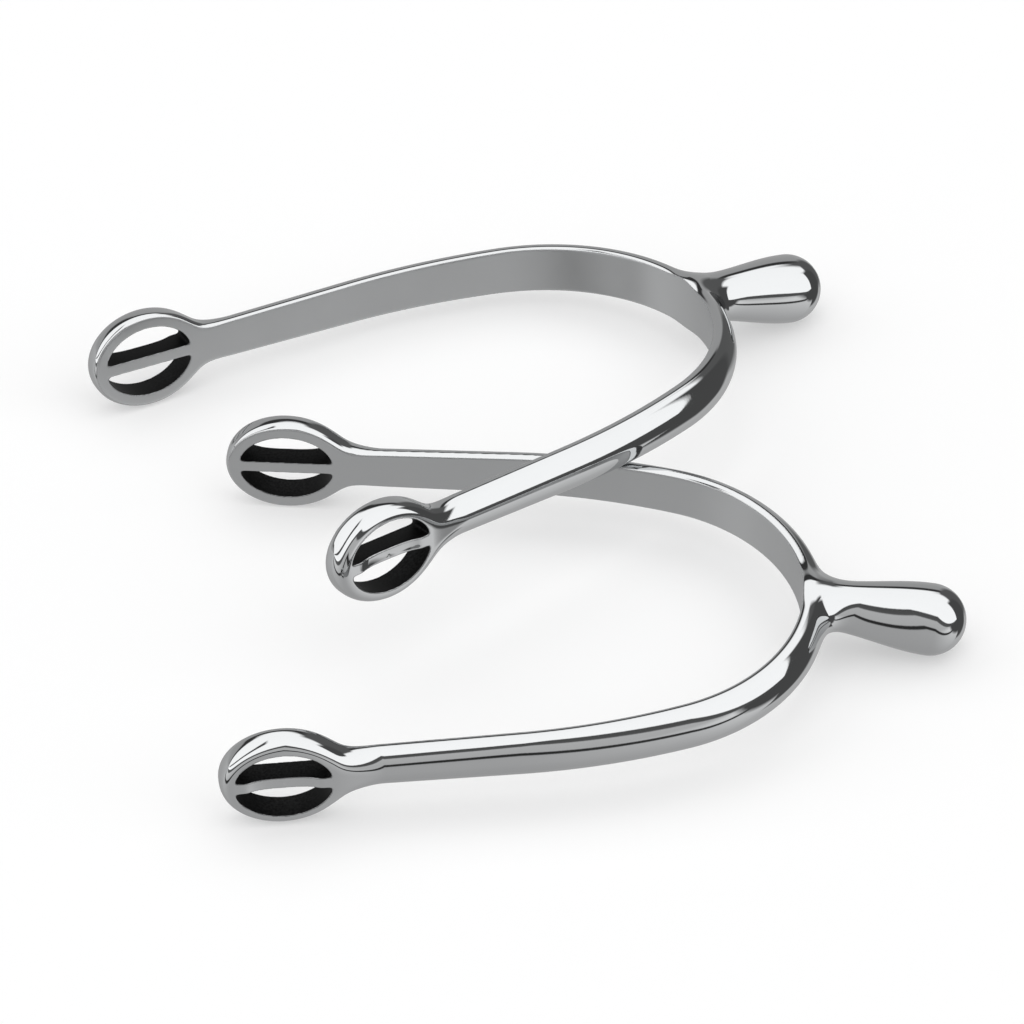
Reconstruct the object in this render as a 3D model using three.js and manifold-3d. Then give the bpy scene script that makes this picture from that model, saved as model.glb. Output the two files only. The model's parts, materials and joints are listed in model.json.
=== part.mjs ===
// A pair of round-end riding spurs, one lying across the other. Millimetres, +Z up.
// Each spur is one stainless casting. It is modelled as six regions that keep a hairline gap:
// the heel band, the neck, two eye rims, and the two strap bars that cross the eyes.

import * as THREE from "three";
import { mergeVertices } from "three/addons/utils/BufferGeometryUtils.js";
import Module from "manifold-3d";

const rad = THREE.MathUtils.degToRad;

// Heel band, as worn: its flat inner face follows a heel arc, a flatter flank arc and a straight.
const HEEL_RADIUS = 29.8;
const HEEL_TURN = rad(70.8);
const FLANK_RADIUS = 107.6;
const BRANCH_SPLAY = rad(4.9); // how far each straight opens away from the centre line
const HEEL_TO_EYE = 83.6; // from the inside of the heel to the centre of an eye
const HEEL_HEIGHT = 9.2;
const BRANCH_HEIGHT = 6.8;
const TAPER_SHARE = 0.9; // the height has tapered down this far along a branch

// Section of the band: highest a little way out from the inner face, a superellipse crown
// beyond that, and a tighter shoulder back to the inner face. The rims are thicker and fuller.
const THICKNESS = 3.9;
const BAND = {
  thickness: THICKNESS,
  shoulder: 1.1, // how far out it is highest
  crownPower: 1.8,
  shoulderReach: 2, // the shoulder's half width, before the inner face cuts it off
  shoulderPower: 3,
};
const RIM = { thickness: 4.7, shoulder: 1.5, crownPower: 2.6, shoulderReach: 2.1, shoulderPower: 2.6 };

// Oval eyes at the ends of the branches.
const EYE_LENGTH = 20.2;
const EYE_HEIGHT = 17.1;
const SLOT_LENGTH = 15.6;
const RIM_WIDTH = 2.35; // above and below the slots
const BAR_HEIGHT = 2.1;
const BAR_EDGE_RADIUS = 0.5;
const ROOT_START = 14; // the branch widens into the eye between these distances from its centre
const ROOT_END = 8.6;
const ROOT_RISE = 1.4; // at the end, above and below

// Neck: round, dropping from the heel, swelling to a bulb.
const NECK_LENGTH = 23.1;
const NECK_DROP = rad(12.5);
const NECK_ROOT_RADIUS = 4.05;
const BULB_RADIUS = 5.9;
const TENON_LENGTH = 3.2; // the neck's start, inside the band, before it is cut back
const TENON_RADIUS = 3;

const GAP = 0.1; // between the regions of one casting

// How the pair lies: the upper spur leans on a branch of the lower one.
const LOWER_YAW = rad(0.9);
const UPPER_YAW = rad(31.9);
const UPPER_PITCH = rad(2.75);
const UPPER_ROLL = rad(-8.99);
const UPPER_OFFSET = { x: -17.5, y: 76.96 }; // from heel to heel

// Fineness.
const HEEL_STEPS = 13;
const FLANK_STEPS = 4;
const STRAIGHT_STEPS = 5;
const ROOT_STEPS = 5;
const CROWN_STEPS = 14;
const RIM_STEPS = 40;
const RIM_CROWN_STEPS = 9;
const NECK_STEPS = 10;
const CAP_STEPS = 6;
const NECK_SIDES = 28;

const wasm = await Module();
wasm.setup();

// ---- geometry helpers ----

function geometryFrom(points, faces) {
  const geometry = new THREE.BufferGeometry();
  geometry.setAttribute("position", new THREE.Float32BufferAttribute(points, 3));
  geometry.setIndex(faces);
  return geometry;
}

function toSolid(geometry) {
  const bare = geometry.clone();
  bare.deleteAttribute("normal");
  bare.deleteAttribute("uv");
  const merged = mergeVertices(bare, 1e-4);
  const vertProperties = merged.attributes.position.array;
  const triVerts = new Uint32Array(merged.index.array);
  return new wasm.Manifold(new wasm.Mesh({ numProp: 3, vertProperties, triVerts }));
}

function toGeometry(solid) {
  const { vertProperties, triVerts } = solid.getMesh();
  return geometryFrom(Array.from(vertProperties), Array.from(triVerts));
}

// A skin over rings of points; each ring has the same number of points.
// A closed loft joins its last ring to its first, an open one gets a flat cap at each end.
function loft(rings, closed) {
  const sides = rings[0].length;
  const points = rings.flat().flatMap((p) => [p.x, p.y, p.z]);
  const faces = [];
  const spans = closed ? rings.length : rings.length - 1;
  for (let i = 0; i < spans; i++) {
    const here = i * sides;
    const next = ((i + 1) % rings.length) * sides;
    for (let j = 0; j < sides; j++) {
      const k = (j + 1) % sides;
      faces.push(here + j, here + k, next + k);
      faces.push(here + j, next + k, next + j);
    }
  }
  if (!closed) {
    const last = (rings.length - 1) * sides;
    for (let j = 1; j < sides - 1; j++) {
      faces.push(0, j + 1, j);
      faces.push(last, last + j, last + j + 1);
    }
  }
  return geometryFrom(points, faces);
}

// The section's curve from the inner face over the crown, as [distance out from the inner face,
// share of the half height]: the top half only, or both halves.
function sectionArc(shape, steps, wholeSection) {
  const cut = (shape.shoulder / shape.shoulderReach) ** (shape.shoulderPower / 2);
  const end = Math.acos(-cut);
  return Array.from({ length: steps + 1 }, (_, i) => {
    const angle = wholeSection
      ? THREE.MathUtils.lerp(-end, end, i / steps)
      : THREE.MathUtils.lerp(end, 0, i / steps);
    const [out, side] = [Math.cos(angle), Math.sin(angle)];
    const reach = out > 0 ? shape.thickness - shape.shoulder : shape.shoulderReach;
    const power = 2 / (out > 0 ? shape.crownPower : shape.shoulderPower);
    const outward = shape.shoulder + Math.sign(out) * reach * Math.abs(out) ** power;
    return [outward, Math.sign(side) * Math.abs(side) ** power];
  });
}

// ---- the plan of the inner face ----

const HEEL_ARC = HEEL_RADIUS * HEEL_TURN;
const STRAIGHT_ANGLE = Math.PI / 2 - BRANCH_SPLAY;
const FLANK_ARC = FLANK_RADIUS * (STRAIGHT_ANGLE - HEEL_TURN);

const onArc = (centreX, centreY, radius, angle) => ({
  x: centreX + radius * Math.cos(angle),
  y: centreY + radius * Math.sin(angle),
  angle,
});
const heelEnd = onArc(-HEEL_RADIUS, 0, HEEL_RADIUS, HEEL_TURN);
const flankCentre = {
  x: heelEnd.x - FLANK_RADIUS * Math.cos(HEEL_TURN),
  y: heelEnd.y - FLANK_RADIUS * Math.sin(HEEL_TURN),
};
const flankEnd = onArc(flankCentre.x, flankCentre.y, FLANK_RADIUS, STRAIGHT_ANGLE);
const STRAIGHT = (HEEL_TO_EYE + flankEnd.x) / Math.cos(BRANCH_SPLAY);
const BRANCH = HEEL_ARC + FLANK_ARC + STRAIGHT;

// The point a distance s along the inner face from the middle of the heel; angle is its normal's.
// side is +1 for the branch towards +Y and -1 for the other.
function innerFace(s, side) {
  let point;
  if (s <= HEEL_ARC) {
    point = onArc(-HEEL_RADIUS, 0, HEEL_RADIUS, s / HEEL_RADIUS);
  } else if (s <= HEEL_ARC + FLANK_ARC) {
    const angle = HEEL_TURN + (s - HEEL_ARC) / FLANK_RADIUS;
    point = onArc(flankCentre.x, flankCentre.y, FLANK_RADIUS, angle);
  } else {
    const along = s - HEEL_ARC - FLANK_ARC;
    point = {
      x: flankEnd.x - along * Math.cos(BRANCH_SPLAY),
      y: flankEnd.y + along * Math.sin(BRANCH_SPLAY),
      angle: STRAIGHT_ANGLE,
    };
  }
  return { x: point.x, y: side * point.y, angle: side * point.angle };
}

// 0 along the branch, rising to 1 where it runs into the eye.
function rootShare(s) {
  return Math.max((s - BRANCH + ROOT_START) / (ROOT_START - ROOT_END), 0) ** 2;
}

function bandHeight(s) {
  const taper = Math.min(s / (TAPER_SHARE * BRANCH), 1);
  return THREE.MathUtils.lerp(HEEL_HEIGHT, BRANCH_HEIGHT, taper) + 2 * ROOT_RISE * rootShare(s);
}

function bandArc(s) {
  const shape = {};
  for (const key of Object.keys(BAND)) {
    shape[key] = THREE.MathUtils.lerp(BAND[key], RIM[key], rootShare(s));
  }
  return sectionArc(shape, CROWN_STEPS, true);
}

// ---- the regions of one spur ----

// grow swells the outer surface, for cutting a neighbour back to it.
function bandGeometry(grow = 0) {
  const steps = [];
  const addSteps = (from, length, count) => {
    for (let i = 0; i < count; i++) {
      steps.push(from + (length * i) / count);
    }
  };
  const rootStart = BRANCH - ROOT_START;
  addSteps(0, HEEL_ARC, HEEL_STEPS);
  addSteps(HEEL_ARC, FLANK_ARC, FLANK_STEPS);
  addSteps(HEEL_ARC + FLANK_ARC, rootStart - HEEL_ARC - FLANK_ARC, STRAIGHT_STEPS);
  addSteps(rootStart, ROOT_START - ROOT_END, ROOT_STEPS);
  steps.push(BRANCH - ROOT_END);
  const stations = [
    ...steps.slice(1).reverse().map((s) => [s, 1]),
    ...steps.map((s) => [s, -1]),
  ];
  const rings = stations.map(([s, side]) => {
    const { x, y, angle } = innerFace(s, side);
    const halfHeight = bandHeight(s) / 2;
    return bandArc(s).map(([outward, up]) => {
      const reach = outward * (1 + grow / THICKNESS);
      const height = up * (halfHeight + grow);
      return new THREE.Vector3(x + reach * Math.cos(angle), y + reach * Math.sin(angle), height);
    });
  });
  return loft(rings, false);
}

// An eye's own frame: x along the branch, y outwards, z up, its centre at the eye's.
function placeEye(geometry, side) {
  const { x, y, angle } = innerFace(BRANCH, side);
  const turn = new THREE.Matrix4().makeRotationZ(angle - Math.PI / 2);
  const move = new THREE.Matrix4().makeTranslation(x, y, 0);
  return geometry.clone().applyMatrix4(move.multiply(turn));
}

function rimGeometry(grow = 0) {
  const slot = { x: SLOT_LENGTH / 2, z: EYE_HEIGHT / 2 - RIM_WIDTH };
  const edge = { x: EYE_LENGTH / 2, z: EYE_HEIGHT / 2 };
  const arc = sectionArc(RIM, RIM_CROWN_STEPS, false);
  const rings = [];
  for (let i = 0; i < RIM_STEPS; i++) {
    const turn = (2 * Math.PI * i) / RIM_STEPS;
    const at = (share, y) => new THREE.Vector3(
      THREE.MathUtils.lerp(slot.x, edge.x + grow, share) * Math.cos(turn),
      y,
      THREE.MathUtils.lerp(slot.z, edge.z + grow, share) * Math.sin(turn),
    );
    const crown = arc.map(([outward, share]) => at(share, outward * (1 + grow / RIM.thickness)));
    rings.push([at(0, -grow), at(arc[0][1], -grow), ...crown.slice(grow ? 0 : 1)]);
  }
  return loft(rings, true);
}

function strapBarGeometry() {
  const halfLength = SLOT_LENGTH / 2 - 2 * GAP;
  const half = BAR_HEIGHT / 2;
  const shoulder = THICKNESS - BAR_EDGE_RADIUS;
  const section = new THREE.Shape();
  section.moveTo(-half, 0);
  section.lineTo(half, 0);
  section.lineTo(half, shoulder);
  section.absarc(half - BAR_EDGE_RADIUS, shoulder, BAR_EDGE_RADIUS, 0, Math.PI / 2);
  section.absarc(BAR_EDGE_RADIUS - half, shoulder, BAR_EDGE_RADIUS, Math.PI / 2, Math.PI);
  section.closePath();
  const options = { depth: 2 * halfLength, bevelEnabled: false, curveSegments: 3 };
  const bar = new THREE.ExtrudeGeometry(section, options);
  return bar.translate(0, 0, -halfLength).rotateY(Math.PI / 2);
}

function neckGeometry() {
  const bulbCentre = NECK_LENGTH - BULB_RADIUS;
  const profile = [new THREE.Vector2(0, -TENON_LENGTH)];
  profile.push(new THREE.Vector2(TENON_RADIUS, -TENON_LENGTH));
  for (let i = 0; i <= NECK_STEPS; i++) {
    const share = i / NECK_STEPS;
    const swell = THREE.MathUtils.smoothstep(share, 0, 1);
    const radius = THREE.MathUtils.lerp(NECK_ROOT_RADIUS, BULB_RADIUS, swell);
    profile.push(new THREE.Vector2(radius, share * bulbCentre));
  }
  for (let i = 1; i < CAP_STEPS; i++) {
    const angle = (Math.PI / 2) * (i / CAP_STEPS);
    const along = bulbCentre + BULB_RADIUS * Math.sin(angle);
    profile.push(new THREE.Vector2(BULB_RADIUS * Math.cos(angle), along));
  }
  profile.push(new THREE.Vector2(0, NECK_LENGTH));
  const neck = new THREE.LatheGeometry(profile, NECK_SIDES);
  // The lathe's axis turns from up to rearwards and down.
  return neck.rotateZ(-Math.PI / 2).rotateY(NECK_DROP).translate(THICKNESS, 0, 0);
}

// The neck points rearwards, along +X, so a wearer's right is towards +Y.
const SIDES = { left: -1, right: 1 };

// Band and neck are cut back from their neighbours; both spurs share the results.
const regions = {};
{
  let band = toSolid(bandGeometry());
  for (const side of Object.values(SIDES)) {
    band = band.subtract(toSolid(placeEye(rimGeometry(GAP), side)));
  }
  regions.heel_band = toGeometry(band);
  regions.neck = toGeometry(toSolid(neckGeometry()).subtract(toSolid(bandGeometry(GAP))));
  for (const [name, side] of Object.entries(SIDES)) {
    regions[`${name}_eye_rim`] = placeEye(rimGeometry(), side);
    regions[`${name}_strap_bar`] = placeEye(strapBarGeometry(), side);
  }
}

// ---- materials ----

const polished = { color: 0xc9cbcc, roughness: 0.08, metalness: 1 };
const satin = { color: 0x8f9295, roughness: 0.38, metalness: 1 };
const FINISH = { left_strap_bar: satin, right_strap_bar: satin };

function makeSpur(name) {
  const spur = new THREE.Group();
  for (const [region, geometry] of Object.entries(regions)) {
    const material = new THREE.MeshStandardMaterial(FINISH[region] ?? polished);
    const mesh = new THREE.Mesh(geometry, material);
    mesh.name = `${name}_${region}`;
    spur.add(mesh);
  }
  return spur;
}

// ---- the pair ----

// Lowers a group until it rests on the plane z = 0.
function restOnFloor(group) {
  group.updateMatrixWorld(true);
  group.position.z -= new THREE.Box3().setFromObject(group, true).min.z;
}

// The pitch at which both eyes and the bulb touch one level floor.
function levelPitch() {
  const bulbX = THICKNESS + (NECK_LENGTH - BULB_RADIUS) * Math.cos(NECK_DROP);
  const bulbDrop = (NECK_LENGTH - BULB_RADIUS) * Math.sin(NECK_DROP);
  return Math.asin((EYE_HEIGHT / 2 - bulbDrop - BULB_RADIUS) / (HEEL_TO_EYE + bulbX));
}

const lower = makeSpur("lower_spur");
lower.rotation.set(0, levelPitch(), LOWER_YAW, "ZYX");
restOnFloor(lower);

const upper = makeSpur("upper_spur");
upper.rotation.set(UPPER_ROLL, UPPER_PITCH, UPPER_YAW, "ZYX");
upper.position.set(UPPER_OFFSET.x, UPPER_OFFSET.y, 0);
restOnFloor(upper);

// The origin is on the floor, at the middle of the pair's box.
const pair = new THREE.Group();
pair.add(lower, upper);
pair.updateMatrixWorld(true);
const middle = new THREE.Box3().setFromObject(pair, true).getCenter(new THREE.Vector3());
pair.position.set(-middle.x, -middle.y, 0);

export default pair;
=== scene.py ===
"""A pair of polished round-end spurs, one leaning on the other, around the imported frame."""
import json
import math

import bpy
import numpy as np
from mathutils import Matrix, Vector


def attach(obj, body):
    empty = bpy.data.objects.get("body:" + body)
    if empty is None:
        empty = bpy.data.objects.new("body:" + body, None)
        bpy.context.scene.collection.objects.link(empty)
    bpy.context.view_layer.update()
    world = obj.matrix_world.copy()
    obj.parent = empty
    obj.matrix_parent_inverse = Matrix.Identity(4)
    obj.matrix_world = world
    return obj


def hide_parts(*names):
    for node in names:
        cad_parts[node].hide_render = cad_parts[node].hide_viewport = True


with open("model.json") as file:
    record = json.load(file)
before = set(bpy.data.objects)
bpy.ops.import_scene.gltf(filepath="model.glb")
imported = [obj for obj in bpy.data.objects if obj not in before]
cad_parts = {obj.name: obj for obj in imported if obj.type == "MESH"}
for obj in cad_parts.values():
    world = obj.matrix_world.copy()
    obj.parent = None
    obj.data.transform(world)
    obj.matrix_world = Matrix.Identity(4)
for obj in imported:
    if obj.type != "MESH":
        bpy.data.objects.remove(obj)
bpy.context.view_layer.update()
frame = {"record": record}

MM_PER_M = 1000

# ---------------------------------------------------------------- dimensions, mm and radians
# Heel band: the flat inner face follows a heel arc, a flatter flank arc and a straight.
HEEL_RADIUS = 29.8
HEEL_TURN = math.radians(70.8)
FLANK_RADIUS = 107.6
SPLAY = math.radians(4.9)
HEEL_TO_EYE = 83.6
HEEL_HEIGHT = 9.2
BRANCH_HEIGHT = 6.8
TAPER_SHARE = 0.9

# Section: highest a little way out from the inner face, with a crown beyond and a shoulder back.
# Each is a pair: the band's, and the eye rims'. One turns into the other along EYE_SECTION.
THICKNESS = 3.9, 4.7
SHOULDER = 1.1, 1.5
CROWN_POWER = 1.8, 2.6
SHOULDER_REACH = 2.0, 2.1
SHOULDER_POWER = 3.0, 2.6
EYE_SECTION = 8, 16  # from the eye's centre, along the branch

# Oval eyes, each with a bar between two half-moon slots.
EYE_LENGTH = 20.2
EYE_HEIGHT = 17.1
SLOT_LENGTH = 15.6
RIM_WIDTH = 2.35
BAR_HEIGHT = 2.1
RIM_CROWN = 2.5  # from a rim's edge to the top of its crown, a little more than its width

# Neck, drooping and swelling to a bulb.
NECK_LENGTH = 23.1
NECK_DROP = math.radians(12.5)
NECK_ROOT_RADIUS = 4.05
BULB_RADIUS = 5.9
NECK_TUCK = 0.065  # how fast the root closes inside the band, in mm per mm squared

# Fillets and broken edges, as blend widths.
EYE_ROOT_BLEND = 5.0
NECK_BLEND_SIDE = 7.0
NECK_BLEND_TOP = 4.5
INNER_EDGE_BLEND = 0.35
SLOT_TIP_BLEND = 1.3
SLOT_EDGE_BLEND = 0.35
BAR_EDGE_BLEND = 0.5
BAR_END_BLEND = 8.0

# Finishes, and the slot walls' painted shade: full to the first distance from the inner face or
# the slots, gone by the second.
INNER_FINISH = 0.03, 0.2
SLOT_FINISH_AND_SHADE = 0.03, 0.16

# Grid under the mesh, with the space that it leaves round the spur.
GRID = 0.2
GRID_SPACE = 1  # ahead, behind and above
GRID_SPACE_ASIDE = 7  # beside the eyes' inner faces
GRID_SPACE_BELOW = 3  # below the eyes, for the drooping neck
GRID_SHIFT = 0, 0.37, 0.19  # of a step, to keep its points off the planes of symmetry

# It is filled in blocks: in full where a block's centre is near the surface, else by sign alone.
BLOCK = 8  # grid steps
BLOCK_REACH = 1.6  # block widths
BLOCKS_AT_ONCE = 400

# Fitting the mesh to the surface: rounds before, during and after the evening out.
FIRST_ROUNDS = 3
RELAX_ROUNDS = 4
LAST_ROUNDS = 2
RELAX_SHARE = 0.6  # of the way to the neighbours' middle, in each round
GRADIENT_REACH = 0.01

# Least values, for where the field has no slope.
LEAST_RATIO = 1e-9
LEAST_LEVEL = 1e-6
LEAST_SLOPE = 1e-3
LEAST_SLOPE_SQUARED = 0.05

# ---------------------------------------------------------------- plan of the inner face
HEEL_ARC = HEEL_RADIUS * HEEL_TURN
STRAIGHT_ANGLE = math.pi / 2 - SPLAY
FLANK_ARC = FLANK_RADIUS * (STRAIGHT_ANGLE - HEEL_TURN)
FLANK_CENTRE = (
    -HEEL_RADIUS + (HEEL_RADIUS - FLANK_RADIUS) * math.cos(HEEL_TURN),
    (HEEL_RADIUS - FLANK_RADIUS) * math.sin(HEEL_TURN),
)
FLANK_END = (
    FLANK_CENTRE[0] + FLANK_RADIUS * math.cos(STRAIGHT_ANGLE),
    FLANK_CENTRE[1] + FLANK_RADIUS * math.sin(STRAIGHT_ANGLE),
)
BRANCH = HEEL_ARC + FLANK_ARC + (HEEL_TO_EYE + FLANK_END[0]) / math.cos(SPLAY)
EYE_CENTRE = (-HEEL_TO_EYE, FLANK_END[1] + (HEEL_TO_EYE + FLANK_END[0]) * math.tan(SPLAY))


# ---------------------------------------------------------------- the spur as a distance field
def smooth_min(a, b, width):
    """The smaller of a and b, with the crease between them filled over this width."""
    overlap = np.maximum(width - np.abs(a - b), 0) / width
    return np.minimum(a, b) - overlap**3 * width / 6


def smooth_max(a, b, width):
    return -smooth_min(-a, -b, width)


def smooth_step(low, high, value):
    share = np.clip((value - low) / (high - low), 0, 1)
    return share * share * (3 - 2 * share)


def mix(a, b, share):
    return a + (b - a) * share


def ellipse_distance(u, v, half_u, half_v):
    """About the distance from an ellipse, negative inside."""
    ratio = np.sqrt((u / half_u) ** 2 + (v / half_v) ** 2)
    steepness = np.sqrt((u / half_u**2) ** 2 + (v / half_v**2) ** 2)
    return (ratio - 1) * np.maximum(ratio, LEAST_RATIO) / np.maximum(steepness, LEAST_RATIO)


def plan_coordinates(x, y):
    """Distance along the inner face from the heel, and distance outwards from it."""
    heel_angle = np.arctan2(y, x + HEEL_RADIUS)
    heel_out = np.hypot(x + HEEL_RADIUS, y) - HEEL_RADIUS
    flank_angle = np.arctan2(y - FLANK_CENTRE[1], x - FLANK_CENTRE[0])
    flank_out = np.hypot(x - FLANK_CENTRE[0], y - FLANK_CENTRE[1]) - FLANK_RADIUS
    from_x, from_y = x - FLANK_END[0], y - FLANK_END[1]
    straight_along = -from_x * math.cos(SPLAY) + from_y * math.sin(SPLAY)
    straight_out = from_x * math.sin(SPLAY) + from_y * math.cos(SPLAY)
    on_heel = heel_angle <= HEEL_TURN
    on_flank = ~on_heel & (flank_angle <= STRAIGHT_ANGLE)
    flank_along = HEEL_ARC + FLANK_RADIUS * (flank_angle - HEEL_TURN)
    along = np.where(on_flank, flank_along, HEEL_ARC + FLANK_ARC + straight_along)
    along = np.where(on_heel, HEEL_RADIUS * heel_angle, along)
    out = np.where(on_flank, flank_out, straight_out)
    return along, np.where(on_heel, heel_out, out)


def slot_distance(to_eye, z):
    """Distance from the half-moon slots, negative inside them."""
    opening = ellipse_distance(to_eye, z, SLOT_LENGTH / 2, EYE_HEIGHT / 2 - RIM_WIDTH)
    return smooth_max(opening, BAR_HEIGHT / 2 - np.abs(z), SLOT_TIP_BLEND)


def eye_cut_distance(to_eye, out, z):
    """The same for all that is cut out of an eye: the slots, and the space outside its bar."""
    opening = ellipse_distance(to_eye, z, SLOT_LENGTH / 2, EYE_HEIGHT / 2 - RIM_WIDTH)
    outside_bar = smooth_max(opening, THICKNESS[0] - out, BAR_END_BLEND)
    return smooth_min(slot_distance(to_eye, z), outside_bar, BAR_EDGE_BLEND)


def crowned_distance(along, out, z):
    """Distance from the branches and eyes, domed outwards from their outline."""
    to_eye = BRANCH - along
    taper = np.minimum(along / (TAPER_SHARE * BRANCH), 1)
    half_height = mix(HEEL_HEIGHT, BRANCH_HEIGHT, taper) / 2
    branch = np.maximum(np.abs(z) - half_height, -to_eye)
    eye = ellipse_distance(to_eye, z, EYE_LENGTH / 2, EYE_HEIGHT / 2)
    outline = smooth_min(branch, eye, EYE_ROOT_BLEND)
    in_eye = 1 - smooth_step(*EYE_SECTION, to_eye)
    crown_width = mix(half_height, RIM_CROWN, in_eye)
    across = np.maximum(outline + crown_width, 0) / crown_width
    shoulder = mix(*SHOULDER, in_eye)
    beyond = out > shoulder
    reach = np.where(beyond, mix(*THICKNESS, in_eye) - shoulder, mix(*SHOULDER_REACH, in_eye))
    power = np.where(beyond, mix(*CROWN_POWER, in_eye), mix(*SHOULDER_POWER, in_eye))
    up = np.abs(out - shoulder) / reach
    level = np.maximum((across**power + up**power) ** (1 / power), LEAST_LEVEL)
    slope_across = (across / level) ** (power - 1) / crown_width
    slope_up = (up / level) ** (power - 1) / reach
    return (level - 1) / np.maximum(np.hypot(slope_across, slope_up), LEAST_SLOPE)


def neck_distance(x, y, z):
    """Distance from the neck, a swelling round bar, and the ball at its end."""
    axis_x, axis_z = math.cos(NECK_DROP), -math.sin(NECK_DROP)
    from_root = x - THICKNESS[0]
    along = from_root * axis_x + z * axis_z
    radial = np.hypot(-from_root * axis_z + z * axis_x, y)
    bulb_at = NECK_LENGTH - BULB_RADIUS
    share = np.clip(along / bulb_at, 0, 1)
    swell = BULB_RADIUS - NECK_ROOT_RADIUS
    radius = NECK_ROOT_RADIUS + swell * share * share * (3 - 2 * share)
    radius = radius - NECK_TUCK * np.minimum(along, 0) ** 2
    slope = swell * 6 * share * (1 - share) / bulb_at
    side = (radial - radius) / np.sqrt(1 + slope**2)
    end = np.hypot(along - bulb_at, radial) - BULB_RADIUS
    return np.where(along > bulb_at, end, side)


def spur_distance(points):
    """Distance from one spur in its own frame, negative inside: x rearward, y across, z up."""
    x, y, z = points[:, 0], np.abs(points[:, 1]), points[:, 2]
    along, out = plan_coordinates(x, y)
    body = crowned_distance(along, out, z)
    fillet = mix(NECK_BLEND_SIDE, NECK_BLEND_TOP, np.minimum((z / NECK_ROOT_RADIUS) ** 2, 1))
    body = smooth_min(body, neck_distance(x, y, z), fillet)
    body = smooth_max(body, -out, INNER_EDGE_BLEND)
    return smooth_max(body, -eye_cut_distance(BRANCH - along, out, z), SLOT_EDGE_BLEND)


def gradient(points):
    slopes = []
    for step in np.eye(3) * GRADIENT_REACH:
        rise = spur_distance(points + step) - spur_distance(points - step)
        slopes.append(rise / (2 * GRADIENT_REACH))
    return np.stack(slopes, axis=1)


# ---------------------------------------------------------------- a mesh over the field
def sample_grid():
    """The field on a regular grid, worked out only in the blocks near the surface."""
    low = np.array([
        -HEEL_TO_EYE - EYE_LENGTH / 2 - GRID_SPACE,
        -EYE_CENTRE[1] - GRID_SPACE_ASIDE,
        -EYE_HEIGHT / 2 - GRID_SPACE_BELOW,
    ])
    high = np.array([
        THICKNESS[0] + NECK_LENGTH + GRID_SPACE,
        EYE_CENTRE[1] + GRID_SPACE_ASIDE,
        EYE_HEIGHT / 2 + GRID_SPACE,
    ])
    blocks = np.ceil((high - low) / (GRID * BLOCK)).astype(int)
    low = low - np.array(GRID_SHIFT) * GRID
    field = np.zeros(blocks * BLOCK, np.float32)
    centres = np.stack(np.meshgrid(*[np.arange(b) for b in blocks], indexing="ij"), -1)
    centres = centres.reshape(-1, 3)
    middle = low + (centres * BLOCK + (BLOCK - 1) / 2) * GRID
    rough = spur_distance(middle)
    near = np.abs(rough) < BLOCK * GRID * BLOCK_REACH
    view = field.reshape(blocks[0], BLOCK, blocks[1], BLOCK, blocks[2], BLOCK)
    view[:] = np.sign(rough).reshape(blocks)[:, None, :, None, :, None] * BLOCK
    inside = np.stack(np.meshgrid(*[np.arange(BLOCK)] * 3, indexing="ij"), -1).reshape(-1, 3)
    for chunk in np.array_split(centres[near], max(1, near.sum() // BLOCKS_AT_ONCE)):
        cells = chunk[:, None, :] * BLOCK + inside[None, :, :]
        values = spur_distance(low + cells.reshape(-1, 3) * GRID)
        i, j, k = cells.reshape(-1, 3).T
        field[i, j, k] = values
    return field, low


def surface_net(field, low):
    """One vertex in each cell that the surface crosses, and a quad across each crossed edge."""
    solid = field < 0
    shape = np.array(field.shape) - 1
    corners = [solid[a : a + shape[0], b : b + shape[1], c : c + shape[2]]
               for a in (0, 1) for b in (0, 1) for c in (0, 1)]
    count = sum(c.astype(np.int8) for c in corners)
    crossed = (count > 0) & (count < 8)
    number = np.full(shape, -1, np.int64)
    number[crossed] = np.arange(crossed.sum())
    vertices = low + (np.argwhere(crossed) + 0.5) * GRID
    quads = []
    for axis in range(3):
        first, second = (axis + 1) % 3, (axis + 2) % 3
        here = np.moveaxis(solid, axis, 0)
        change = np.moveaxis(here[1:] != here[:-1], 0, axis)
        edge = np.argwhere(change)
        edge = edge[(edge[:, first] > 0) & (edge[:, second] > 0)]
        edge = edge[(edge[:, first] < shape[first]) & (edge[:, second] < shape[second])]
        ring = []
        for back_first, back_second in ((1, 1), (0, 1), (0, 0), (1, 0)):
            cell = edge.copy()
            cell[:, first] -= back_first
            cell[:, second] -= back_second
            ring.append(number[tuple(cell.T)])
        ring = np.stack(ring, 1)
        leaving = solid[tuple(edge.T)]
        ring[~leaving] = ring[~leaving][:, ::-1]
        quads.append(ring)
    return vertices, np.concatenate(quads)


def project(points, rounds):
    """Moves the vertices onto the surface, by Newton's steps down the field's slope."""
    for _ in range(rounds):
        slope = gradient(points)
        squared = np.maximum((slope**2).sum(1), LEAST_SLOPE_SQUARED)
        points = points - slope * (spur_distance(points) / squared)[:, None]
    return points


def relax(points, quads, rounds):
    """Evens out the vertices along the surface."""
    edges = np.concatenate([quads[:, [a, (a + 1) % 4]] for a in range(4)])
    weight = np.bincount(edges.ravel(), minlength=len(points))
    for _ in range(rounds):
        total = np.zeros_like(points)
        for axis in range(3):
            total[:, axis] += np.bincount(edges[:, 0], points[edges[:, 1], axis], len(points))
            total[:, axis] += np.bincount(edges[:, 1], points[edges[:, 0], axis], len(points))
        points = project(mix(points, total / weight[:, None], RELAX_SHARE), 1)
    return points


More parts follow.
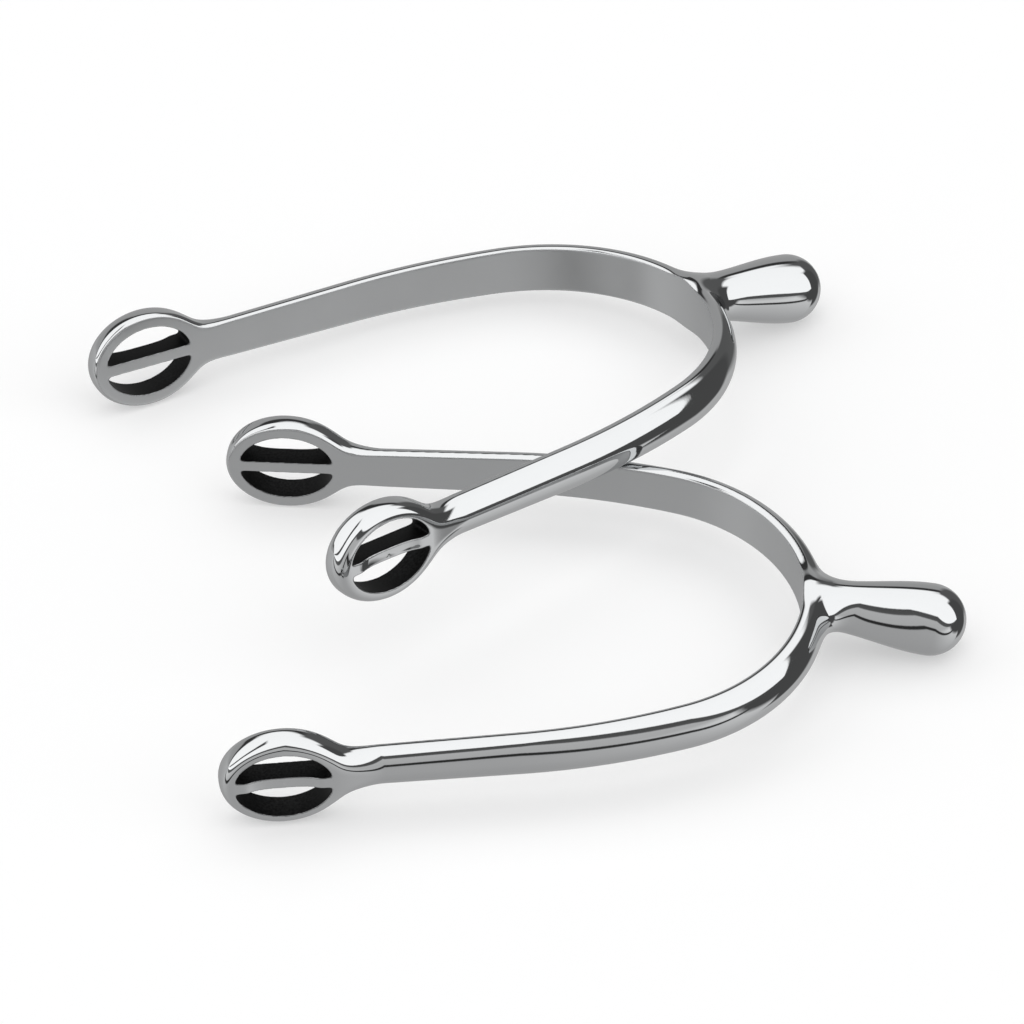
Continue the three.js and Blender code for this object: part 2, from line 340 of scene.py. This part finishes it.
def spur_surface():
    """Points, quads, normals and two masks of one spur, in its own frame: the inner face's
    finish, and the slot walls' finish and painted shade.
    """
    points, quads = surface_net(*sample_grid())
    points = project(points, FIRST_ROUNDS)
    points = relax(points, quads, RELAX_ROUNDS)
    points = project(points, LAST_ROUNDS)
    normals = gradient(points)
    normals /= np.linalg.norm(normals, axis=1)[:, None]
    along, out = plan_coordinates(points[:, 0], np.abs(points[:, 1]))
    inner = 1 - smooth_step(*INNER_FINISH, out)
    slot = 1 - smooth_step(*SLOT_FINISH_AND_SHADE, slot_distance(BRANCH - along, points[:, 2]))
    return points, quads, normals, {"inner_face": inner, "slot_wall": slot}


def make_spur_mesh(name, surface, place):
    """The surface as a mesh in world coordinates and metres, where the spur lies."""
    points, quads, normals, masks = surface
    turn = np.array(place.to_3x3())
    points = points / MM_PER_M @ turn.T + np.array(place.translation)
    mesh = bpy.data.meshes.new(name)
    mesh.from_pydata(points.tolist(), [], quads.tolist())
    mesh.update()
    for mask, values in masks.items():
        attribute = mesh.attributes.new(mask, "FLOAT", "POINT")
        attribute.data.foreach_set("value", values.astype(np.float32))
    mesh.polygons.foreach_set("use_smooth", np.ones(len(quads), bool))
    mesh.normals_split_custom_set_from_vertices((normals @ turn.T).tolist())
    return mesh


# ---------------------------------------------------------------- placing
def spur_place(name):
    """World from spur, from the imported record's strap-bar mounts."""
    mounts = {m["name"]: m for m in frame["record"]["mounts"]}
    left, right = (mounts[f"{name}_{side}_strap_bar"] for side in ("left", "right"))
    left_at, right_at = Vector(left["pos_m"]), Vector(right["pos_m"])
    across = (right_at - left_at).normalized()
    rearward = -(Vector(left["axis"]) + Vector(right["axis"]))
    rearward = (rearward - across * rearward.dot(across)).normalized()
    heel = (left_at + right_at) / 2 + rearward * HEEL_TO_EYE / MM_PER_M
    turn = Matrix((rearward, across, rearward.cross(across))).transposed()
    return Matrix.Translation(heel) @ turn.to_4x4()


# ---------------------------------------------------------------- node helpers
def node(tree, kind, **settings):
    """A new node, with its input sockets or its own settings given by name."""
    made = tree.nodes.new(kind)
    for key, value in settings.items():
        if key in made.inputs.keys():
            made.inputs[key].default_value = value
        else:
            setattr(made, key, value)
    return made


def maths(tree, operation, *values, clamp=False):
    """The result of a maths node on numbers and sockets."""
    made = tree.nodes.new("ShaderNodeMath")
    made.operation = operation
    made.use_clamp = clamp
    for socket, value in zip(made.inputs, values):
        if isinstance(value, (int, float)):
            socket.default_value = value
        else:
            tree.links.new(value, socket)
    return made.outputs[0]


def blend_values(tree, a, b, share):
    """a where share is 0 and b where it is 1."""
    return maths(tree, "MULTIPLY_ADD", share, maths(tree, "SUBTRACT", b, a), a)


# ---------------------------------------------------------------- steel
# Noises: scale per metre, and detail.
CLOUD = 90.0, 3.0
GRAIN = 2600.0, 4.0
WAVE = 110.0, 0.0

# Roughness and brightness of each finish: how much they follow a noise, and their values at 0.
# The polish and the satin follow the cloud, and the slot walls the grain. The slot walls'
# brightness is painted shade, near black for the shade inside the slots.
POLISH_ROUGHNESS = 0.04, 0.03
SATIN_ROUGHNESS = 0.08, 0.27
SLOT_ROUGHNESS = 0.3, 0.4
POLISH_BRIGHTNESS = 0.02, 0.6
SATIN_BRIGHTNESS = 0.05, 0.56
SLOT_PAINTED_SHADE = 0.05, -0.012
SLOT_SHADE_DARKEST = 0.006
STEEL_TINT = 0.985, 1.0, 1.01

# Bumps: strength, and height in metres.
GRIT = {"Strength": 0.06, "Distance": 0.00002}
SWELL = {"Strength": 1.0, "Distance": 0.00003}


def steel_material():
    """Mirror-bright outside, satin on the flat inner face, dull on the slot walls, which are
    painted near black as shade inside the slots.
    """
    material = bpy.data.materials.new("polished_steel")
    material.use_nodes = True
    tree = material.node_tree
    shader = tree.nodes["Principled BSDF"]
    shader.inputs["Metallic"].default_value = 1.0
    inner = node(tree, "ShaderNodeAttribute", attribute_name="inner_face").outputs["Fac"]
    slot = node(tree, "ShaderNodeAttribute", attribute_name="slot_wall").outputs["Fac"]
    place = tree.nodes.new("ShaderNodeTexCoord").outputs["Object"]

    def noise(scale, detail):
        made = node(tree, "ShaderNodeTexNoise", Scale=scale, Detail=detail)
        tree.links.new(place, made.inputs["Vector"])
        return made.outputs["Fac"]

    cloud, grain, wave = noise(*CLOUD), noise(*GRAIN), noise(*WAVE)

    polished = maths(tree, "MULTIPLY_ADD", cloud, *POLISH_ROUGHNESS)
    satin = maths(tree, "MULTIPLY_ADD", cloud, *SATIN_ROUGHNESS)
    pitted = maths(tree, "MULTIPLY_ADD", grain, *SLOT_ROUGHNESS)
    rough = blend_values(tree, blend_values(tree, polished, satin, inner), pitted, slot)
    tree.links.new(rough, shader.inputs["Roughness"])

    bright = maths(tree, "MULTIPLY_ADD", cloud, *POLISH_BRIGHTNESS)
    dull = maths(tree, "MULTIPLY_ADD", cloud, *SATIN_BRIGHTNESS)
    # Painted shade: the slot walls' colour is near black, for the shade inside the slots.
    dark = maths(tree, "MULTIPLY_ADD", grain, *SLOT_PAINTED_SHADE)
    dark = maths(tree, "MAXIMUM", dark, SLOT_SHADE_DARKEST)
    value = blend_values(tree, blend_values(tree, bright, dull, inner), dark, slot)
    colour = tree.nodes.new("ShaderNodeCombineColor")
    for socket, tint in zip(colour.inputs, STEEL_TINT):
        tree.links.new(maths(tree, "MULTIPLY", value, tint), socket)
    tree.links.new(colour.outputs[0], shader.inputs["Base Color"])

    grit = node(tree, "ShaderNodeBump", **GRIT)
    tree.links.new(grain, grit.inputs["Height"])
    swell = node(tree, "ShaderNodeBump", **SWELL)
    tree.links.new(wave, swell.inputs["Height"])
    tree.links.new(grit.outputs[0], swell.inputs["Normal"])
    tree.links.new(swell.outputs[0], shader.inputs["Normal"])
    return material


# ---------------------------------------------------------------- the pair
surface = spur_surface()
steel = steel_material()
REGIONS = (
    "heel_band", "neck", "left_eye_rim", "left_strap_bar", "right_eye_rim", "right_strap_bar",
)
for body in ("lower", "upper"):
    spur_mesh = make_spur_mesh(f"{body}_spur_casting", surface, spur_place(body))
    spur_mesh.materials.append(steel)
    spur = bpy.data.objects.new(f"{body}_spur_casting", spur_mesh)
    bpy.context.scene.collection.objects.link(spur)
    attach(spur, f"{body}_spur")
    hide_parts(*[f"{body}_spur_{region}" for region in REGIONS])

# ---------------------------------------------------------------- studio
# Metres. The wall is near enough not to be clipped, and tall enough to fill the low views.
STAGE_RADIUS = 8.0
WALL_HEIGHT = 8.0
WALL_SIDES = 48
FLOOR_ALBEDO = 0.55
FLOOR_GLOW = 0.39  # lifts the floor to white


def stage_mesh(name, points, faces, albedo, glow):
    """A matt, glowing part of the stage, hidden from the spurs' reflections."""
    mesh = bpy.data.meshes.new(name)
    mesh.from_pydata(points, [], faces)
    material = bpy.data.materials.new(name)
    material.use_nodes = True
    shader = material.node_tree.nodes["Principled BSDF"]
    shader.inputs["Base Color"].default_value = (albedo, albedo, albedo, 1)
    shader.inputs["Roughness"].default_value = 1.0
    shader.inputs["Specular IOR Level"].default_value = 0.0
    shader.inputs["Emission Color"].default_value = (1, 1, 1, 1)
    shader.inputs["Emission Strength"].default_value = glow
    mesh.materials.append(material)
    stage = bpy.data.objects.new(name, mesh)
    bpy.context.scene.collection.objects.link(stage)
    stage.visible_glossy = False
    return stage


def make_floor_and_wall():
    """A pale floor, and a white wall far round it that gives the spurs no light."""
    ring = [2 * math.pi * i / WALL_SIDES for i in range(WALL_SIDES)]
    low = [(STAGE_RADIUS * math.cos(a), STAGE_RADIUS * math.sin(a), 0) for a in ring]
    high = [(x, y, WALL_HEIGHT) for x, y, _ in low]
    stage_mesh("floor", low, [tuple(range(WALL_SIDES))], FLOOR_ALBEDO, FLOOR_GLOW)
    sides = []
    for i in range(WALL_SIDES):
        j = (i + 1) % WALL_SIDES
        sides.append((i, WALL_SIDES + i, WALL_SIDES + j, j))
    wall = stage_mesh("wall", low + high, sides, 0.0, 1.0)
    wall.visible_diffuse = False
    wall.visible_shadow = False


# The studio as the spurs mirror it, from below, up behind them, over the top and down in front:
# degrees from overhead, and brightness. Its edges are soft over two or three degrees.
STUDIO = (
    (-180, 0.46), (-130, 0.43), (-95, 0.46), (-65, 0.44), (-62, 0.05), (-53, 0.04), (-50, 1.45),
    (27, 1.5), (29, 0.10), (44, 0.12), (47, 0.64), (73, 0.60), (75, 0.03), (83, 0.04),
    (86, 0.52), (130, 0.50), (180, 0.46),
)
BEND = 62.0  # the front edges drop by so many degrees per unit of x to either side of BEND_FROM
BEND_FROM = 0.15

# The floor's share is brighter to the sides, by x * (first * x + second).
LOW_ANGLE = 85, 100
LOW_GAIN = 0.6, 0.2

# Dark cards. Each range is where a card fades in, over x or over degrees from overhead.
CARD_LEVEL = 0.09
BEHIND_LEVEL = 0.13
BEHIND_X, BEHIND_TOP, BEHIND_FOOT = (0.28, 0.4), (-40, -48), (-128, -118)
FAR_RIGHT_X, FAR_RIGHT_ANGLE = (0.68, 0.76), (-20, -26)
LOW_RIGHT_X, LOW_RIGHT_ANGLE = (0.84, 0.9), (86, 92)
SLANT_X, SLANT_WIDTH = (-0.28, -0.36), (12, 8)
SLANT_LINE = 110.0, 48.0  # the strip runs where angle + first * x + second is 0


def make_studio():
    """The world's light, from its direction alone: STUDIO, bent, and then the dark cards."""
    world = bpy.data.worlds.new("studio")
    bpy.context.scene.world = world
    world.use_nodes = True
    tree = world.node_tree
    direction = tree.nodes.new("ShaderNodeTexCoord").outputs["Generated"]
    split = tree.nodes.new("ShaderNodeSeparateXYZ")
    tree.links.new(direction, split.inputs[0])
    x, y, z = split.outputs

    def step(value, low, high):
        """0 below low and 1 above high, or the other way round if low is the higher."""
        scaled = maths(tree, "SUBTRACT", value, low)
        return maths(tree, "DIVIDE", scaled, high - low, clamp=True)

    def both(a, b):
        return maths(tree, "MULTIPLY", a, b)

    angle = maths(tree, "ARCTAN2", maths(tree, "MULTIPLY", y, -1.0), z)
    angle = maths(tree, "MULTIPLY", angle, 180 / math.pi)
    aside = maths(tree, "ABSOLUTE", maths(tree, "SUBTRACT", x, BEND_FROM))
    bent = maths(tree, "SUBTRACT", angle, maths(tree, "MULTIPLY", aside, BEND))
    bent = maths(tree, "MAXIMUM", bent, maths(tree, "MINIMUM", angle, 0.0))

    ramp = tree.nodes.new("ShaderNodeValToRGB")
    tree.links.new(maths(tree, "MULTIPLY_ADD", bent, 1 / 360, 0.5), ramp.inputs[0])
    stops = ramp.color_ramp.elements
    peak = max(level for _, level in STUDIO)
    while len(stops) < len(STUDIO):
        stops.new(0.5)
    for stop, (degrees, level) in zip(stops, STUDIO):
        stop.position = degrees / 360 + 0.5
        stop.color = (level / peak, level / peak, level / peak, 1)
    level = maths(tree, "MULTIPLY", ramp.outputs[0], peak)

    # The floor is brighter to the sides, most of all to the right.
    low = step(maths(tree, "ABSOLUTE", angle), *LOW_ANGLE)
    gain = maths(tree, "MULTIPLY", x, maths(tree, "MULTIPLY_ADD", x, *LOW_GAIN))
    level = maths(tree, "MULTIPLY", level, maths(tree, "MULTIPLY_ADD", gain, low, 1.0))
    # Dark cards: behind to the right, the far right behind and low in front, and a slanting
    # strip on the left.
    behind = both(step(angle, *BEHIND_TOP), step(angle, *BEHIND_FOOT))
    level = blend_values(tree, level, BEHIND_LEVEL, both(step(x, *BEHIND_X), behind))
    far_right = both(step(x, *FAR_RIGHT_X), step(angle, *FAR_RIGHT_ANGLE))
    level = blend_values(tree, level, CARD_LEVEL, far_right)
    low_right = both(step(x, *LOW_RIGHT_X), step(angle, *LOW_RIGHT_ANGLE))
    level = blend_values(tree, level, CARD_LEVEL, low_right)
    off_line = maths(tree, "ADD", angle, maths(tree, "MULTIPLY_ADD", x, *SLANT_LINE))
    strip = step(maths(tree, "ABSOLUTE", off_line), *SLANT_WIDTH)
    level = blend_values(tree, level, CARD_LEVEL, both(strip, step(x, *SLANT_X)))

    background = tree.nodes["Background"]
    tree.links.new(level, background.inputs["Strength"])
    background.inputs["Color"].default_value = (1, 1, 1, 1)


# ---------------------------------------------------------------- camera
CAMERA_LENS = 239.0
CAMERA_DISTANCE = 1.129
CAMERA_ELEVATION = math.radians(39.8)
CAMERA_SENSOR = 36.0
AIM = Vector((-0.00102, 0.0091, 0.0))


def make_camera():
    """The photo's camera, straight in front of the spurs and looking down at them."""
    data = bpy.data.cameras.new("camera")
    data.lens = CAMERA_LENS
    data.sensor_width = CAMERA_SENSOR
    camera = bpy.data.objects.new("camera", data)
    bpy.context.scene.collection.objects.link(camera)
    back = Vector((0, -math.cos(CAMERA_ELEVATION), math.sin(CAMERA_ELEVATION)))
    camera.location = AIM + back * CAMERA_DISTANCE
    camera.rotation_euler = back.to_track_quat("Z", "Y").to_euler()
    bpy.context.scene.camera = camera


make_floor_and_wall()
make_studio()
make_camera()
bpy.context.scene.view_settings.view_transform = "Standard"
